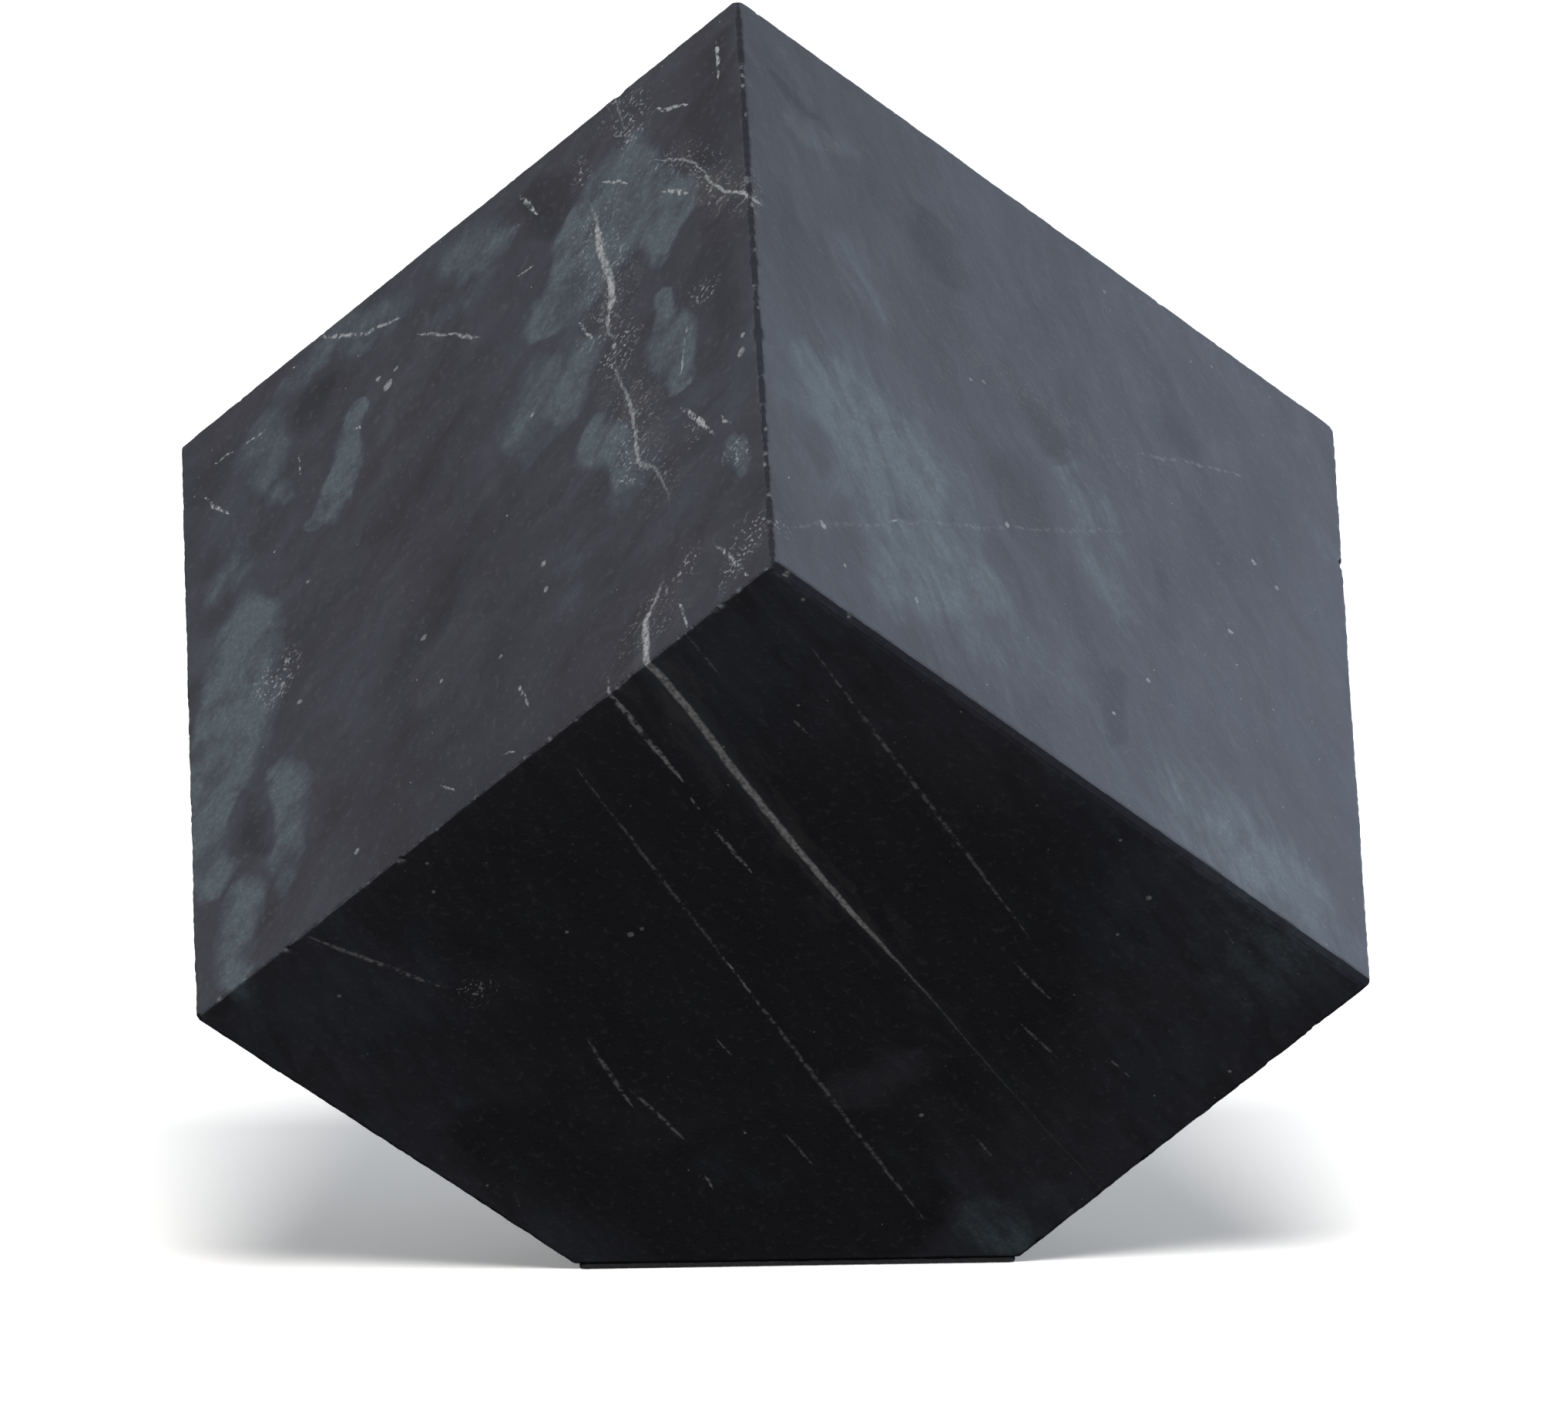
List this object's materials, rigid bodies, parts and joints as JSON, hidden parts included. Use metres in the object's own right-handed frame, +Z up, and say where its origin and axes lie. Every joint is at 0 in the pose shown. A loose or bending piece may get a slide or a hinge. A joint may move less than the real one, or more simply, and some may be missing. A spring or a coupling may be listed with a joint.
{
  "type": "stone cube on point",
  "caption": "Solid black marble cube standing on one sawn-off corner, with bevelled edges and a thin felt pad under the flat base.",
  "frame": {"origin": "on the surface the cube stands on, straight above the missing corner, near the middle of the base", "axes": "+Z up, X along the front side of the base, -Y towards the foremost upper corner"},
  "size_m": [0.1422, 0.1654, 0.1535],
  "materials": {
    "black_marble": "honed black marble with grey clouds and thin white calcite veins",
    "adhesive": "translucent double-sided adhesive film",
    "black_felt": "pressed black felt"
  },
  "bodies": {
    "root": {"marble_block": "black_marble", "adhesive_film": "adhesive", "felt_pad": "black_felt"}
  },
  "joints": []
}
